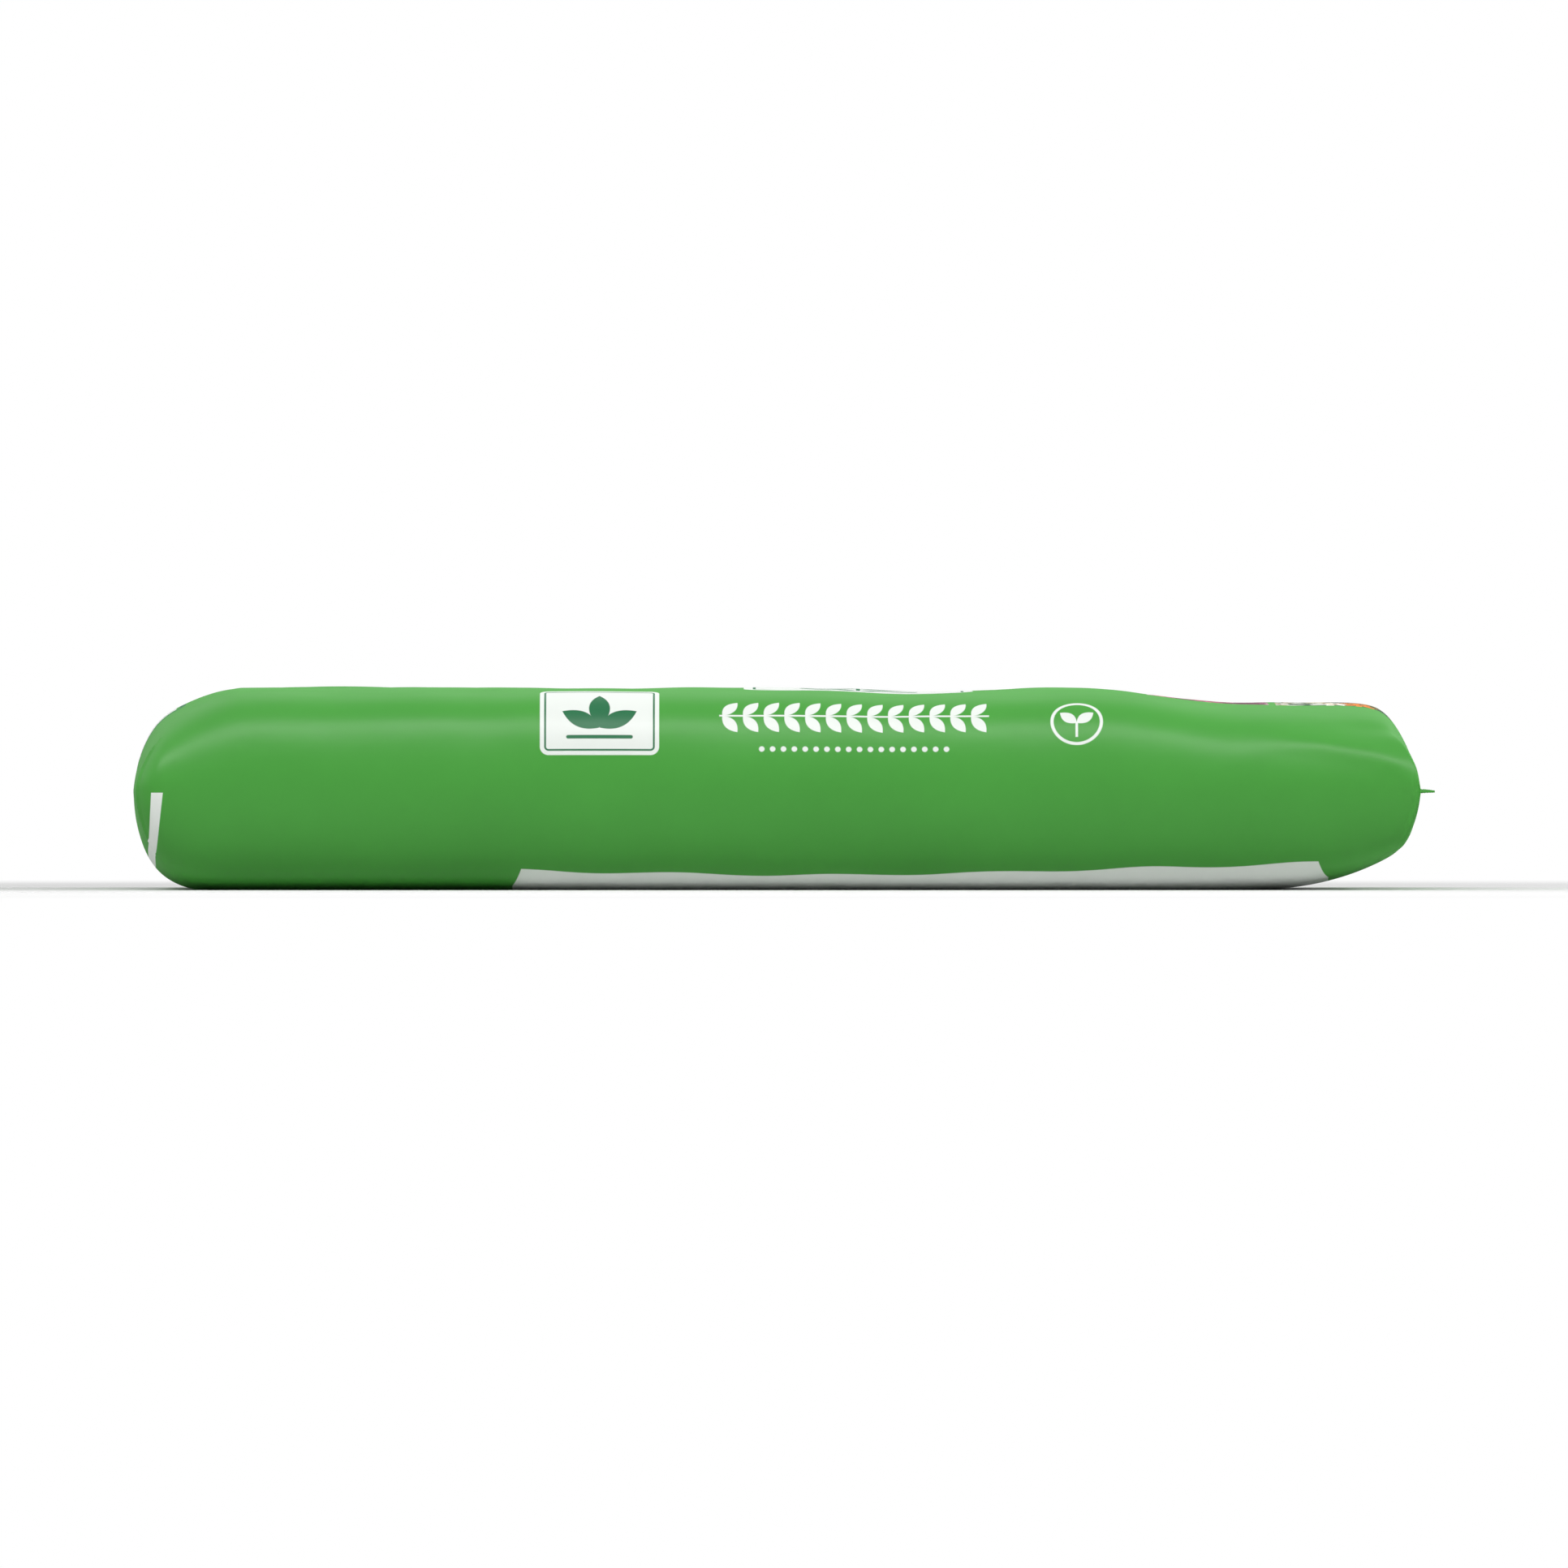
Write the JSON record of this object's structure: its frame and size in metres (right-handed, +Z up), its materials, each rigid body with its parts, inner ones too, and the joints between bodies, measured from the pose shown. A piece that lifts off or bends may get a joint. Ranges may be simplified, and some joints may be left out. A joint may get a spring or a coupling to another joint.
{
  "type": "filled compost bag",
  "caption": "Sealed film bag of compost lying flat: a low pillow, rounded over at one end and closed by a straight heat weld at the other.",
  "frame": {"origin": "on the ground under the middle of the bag's box, with the bag lying flat", "axes": "+X along the bag to its welded end, +Y across it, +Z up; the long side that the picture shows faces -Y"},
  "size_m": [0.742, 0.413, 0.1158],
  "materials": {
    "printed_film": "printed polythene film, soft gloss, leaf green with plain printed fields"
  },
  "bodies": {
    "root": {"filled_bag": "printed_film"}
  },
  "joints": []
}
